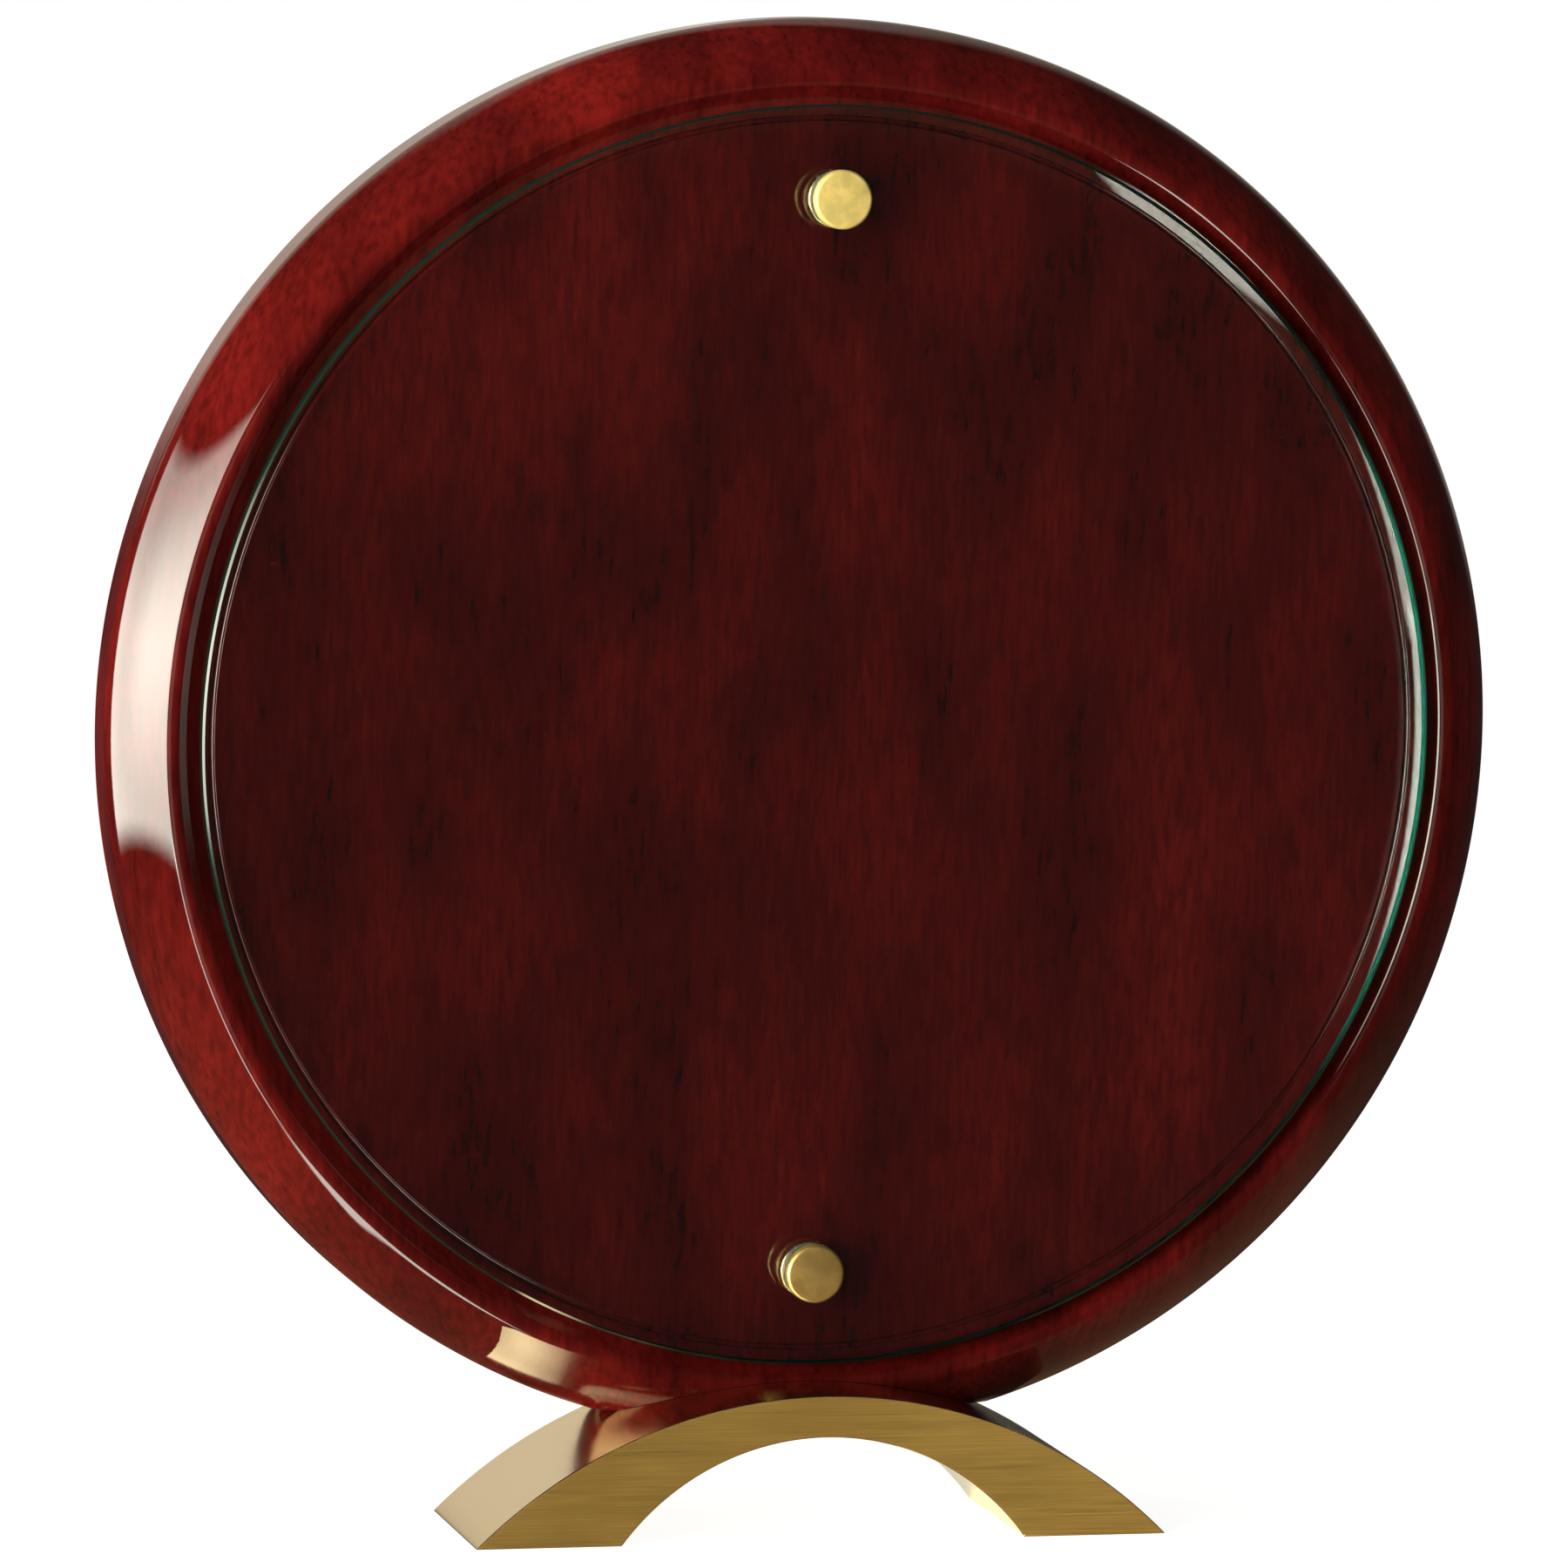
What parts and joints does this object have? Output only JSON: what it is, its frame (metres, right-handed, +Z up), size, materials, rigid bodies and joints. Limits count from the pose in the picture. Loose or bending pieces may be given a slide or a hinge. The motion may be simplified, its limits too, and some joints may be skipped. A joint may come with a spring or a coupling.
{
  "type": "round award plaque",
  "caption": "Round rosewood award plaque with a clear glass disc on screw-on gold standoffs, standing on a gold arch base.",
  "frame": {"origin": "under the middle of the arch, at the height of the surface that the feet stand on", "axes": "+Z up; the glass faces -Y; +X is to the right for someone who faces the glass"},
  "size_m": [0.2286, 0.033, 0.2416],
  "materials": {
    "rosewood_lacquer": "figured rosewood veneer under a clear high-gloss piano lacquer",
    "clear_glass": "clear polished float glass with a green edge",
    "arch_gold": "brushed front and back faces, polished top and underside",
    "standoff_gold": "satin gold with a bright rounded rim",
    "clear_washer": "clear soft plastic",
    "plated_steel": "zinc-plated machine screw",
    "plain_brass": "as-turned threaded insert"
  },
  "bodies": {
    "stand_and_glass": {"board": "rosewood_lacquer", "glass_disc": "clear_glass", "arch_base": "arch_gold", "upper_rear_washer": "clear_washer", "lower_rear_washer": "clear_washer", "upper_barrel": "standoff_gold", "lower_barrel": "standoff_gold", "fixing_screws": "plated_steel", "base_screws": "plated_steel", "base_inserts": "plain_brass"},
    "upper_washer_on_stud": {"upper_front_washer": "clear_washer"},
    "upper_cap_and_stud": {"upper_cap": "standoff_gold"},
    "lower_washer_on_stud": {"lower_front_washer": "clear_washer"},
    "lower_cap_and_stud": {"lower_cap": "standoff_gold"}
  },
  "joints": [
    {"name": "upper_cap_travel", "type": "slide", "parent": "stand_and_glass", "child": "upper_washer_on_stud", "axis": [0, -1, 0], "range_m": [0, 0.0056]},
    {"name": "upper_cap_turn", "type": "hinge", "parent": "upper_washer_on_stud", "child": "upper_cap_and_stud", "pos_m": [0, 0, 0.2131], "axis": [0, -1, 0], "range_deg": [0, 2880]},
    {"name": "lower_cap_travel", "type": "slide", "parent": "stand_and_glass", "child": "lower_washer_on_stud", "axis": [0, -1, 0], "range_m": [0, 0.0056]},
    {"name": "lower_cap_turn", "type": "hinge", "parent": "lower_washer_on_stud", "child": "lower_cap_and_stud", "pos_m": [0, 0, 0.0415], "axis": [0, -1, 0], "range_deg": [0, 2880]}
  ],
  "couplings": [
    {"joint": "upper_cap_turn", "follows": "upper_cap_travel", "rad_per_m": 8976},
    {"joint": "lower_cap_turn", "follows": "lower_cap_travel", "rad_per_m": 8976}
  ]
}
